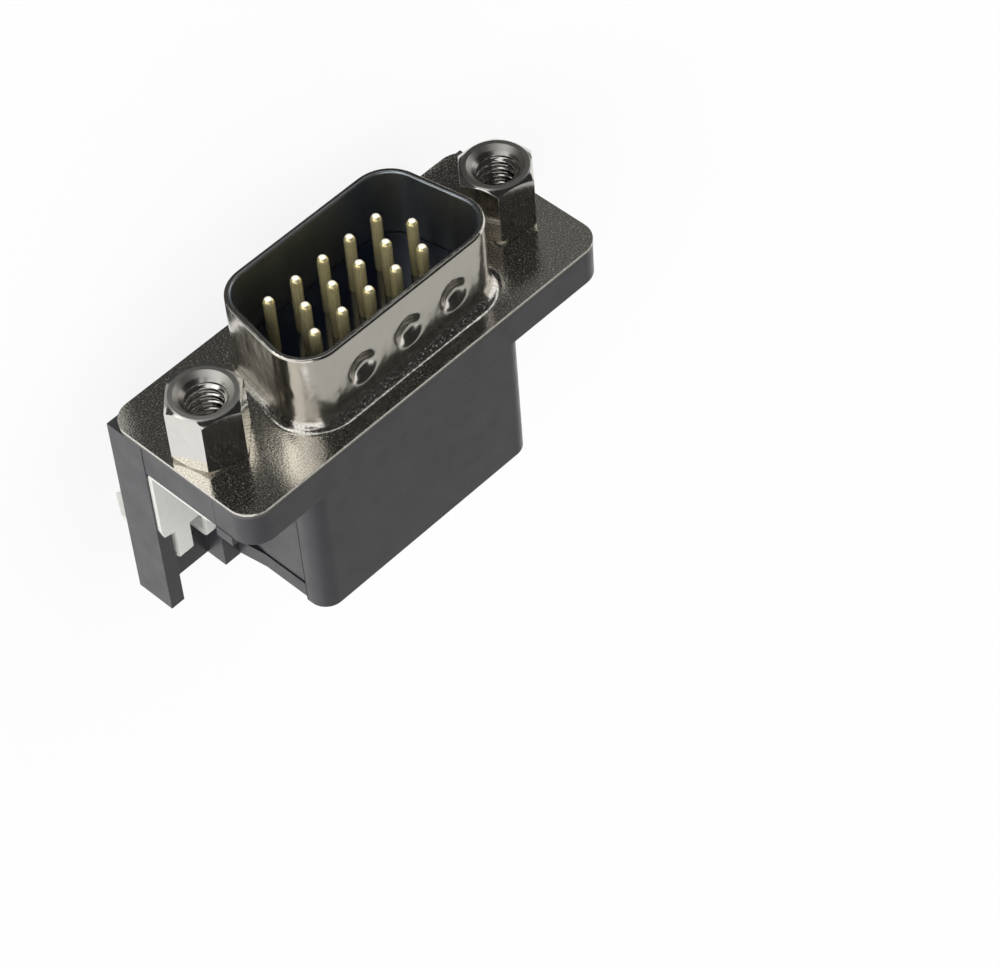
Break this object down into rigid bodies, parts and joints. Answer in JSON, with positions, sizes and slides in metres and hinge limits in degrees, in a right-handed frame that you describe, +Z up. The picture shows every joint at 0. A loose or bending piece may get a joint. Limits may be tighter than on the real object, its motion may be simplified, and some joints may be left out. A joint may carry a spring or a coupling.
{
  "type": "d-sub connector",
  "caption": "Right-angle board-mount plug connector: D-shaped metal shell around bent gold pins, plastic hood, threaded hexagon jackscrews and barbed board locks.",
  "frame": {"origin": "on the board's face, under the middle of the front face of the metal flange", "axes": "+X along the flange, +Y into the connector from the mating side to the tails, +Z up from the board"},
  "size_m": [0.0308, 0.022, 0.0162],
  "materials": {
    "nickel_shell": "nickel plate, satin",
    "housing_plastic": "semi-matt",
    "insulator_plastic": "glossy",
    "tail_block_plastic": "semi-matt",
    "gold_contact": "gold flash, tinned tails",
    "tinned_lock": "matt tin plate",
    "nickel_jackscrew": "polished nickel plate"
  },
  "bodies": {
    "root": {"board_lock_left": "tinned_lock", "board_lock_right": "tinned_lock", "contact_01": "gold_contact", "contact_02": "gold_contact", "contact_03": "gold_contact", "contact_04": "gold_contact", "contact_05": "gold_contact", "contact_06": "gold_contact", "contact_07": "gold_contact", "contact_08": "gold_contact", "contact_09": "gold_contact", "contact_10": "gold_contact", "contact_11": "gold_contact", "contact_12": "gold_contact", "contact_13": "gold_contact", "contact_14": "gold_contact", "contact_15": "gold_contact", "front_insulator": "insulator_plastic", "front_shell": "nickel_shell", "housing": "housing_plastic", "jackscrew_left": "nickel_jackscrew", "jackscrew_right": "nickel_jackscrew", "tail_block": "tail_block_plastic"}
  },
  "joints": []
}
